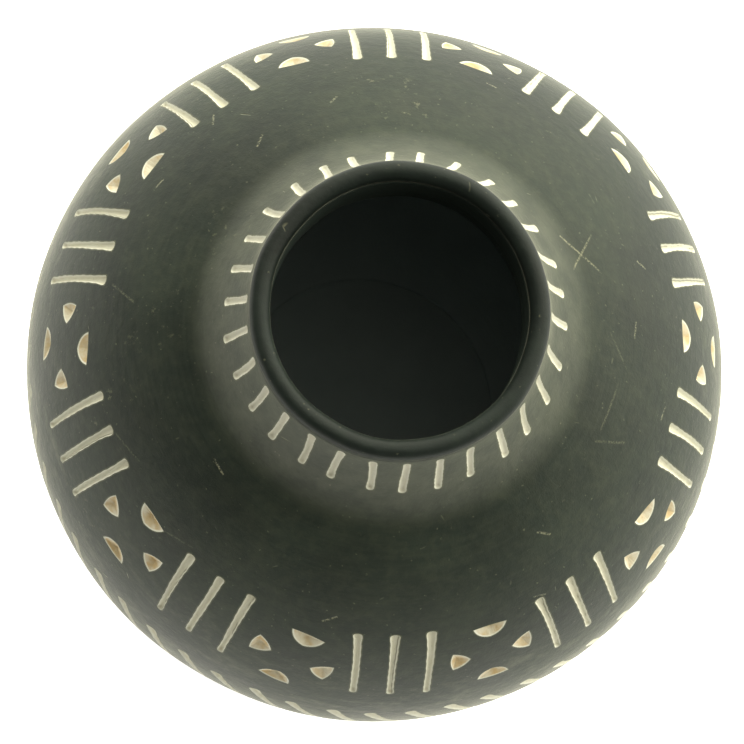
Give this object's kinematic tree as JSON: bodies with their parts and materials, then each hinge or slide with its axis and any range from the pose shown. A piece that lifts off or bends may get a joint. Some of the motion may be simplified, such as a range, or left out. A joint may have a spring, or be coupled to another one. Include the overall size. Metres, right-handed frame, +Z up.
{
  "type": "clay pot",
  "caption": "Globular dark clay pot with a short flared neck, rolled lip, low foot ring and bands of carved marks that show pale clay.",
  "frame": {"origin": "centre of the plane the foot ring stands on", "axes": "+Z up along the pot's own axis, out of the mouth; +X and +Y have no preferred side on a turned pot"},
  "size_m": [0.16, 0.16, 0.1481],
  "materials": {
    "dark_slip": "satin burnished dark slip over pale clay, carved through",
    "burnished_lip": "smooth burnished dark slip",
    "floor_clay": "matt dark clay",
    "foot_clay": "matt dark clay, worn where it stands"
  },
  "bodies": {
    "root": {"foot_ring": "foot_clay", "floor_disc": "floor_clay", "lower_bowl": "dark_slip", "shoulder_wall": "dark_slip", "neck_collar": "dark_slip", "rim_coil": "burnished_lip"}
  },
  "joints": []
}
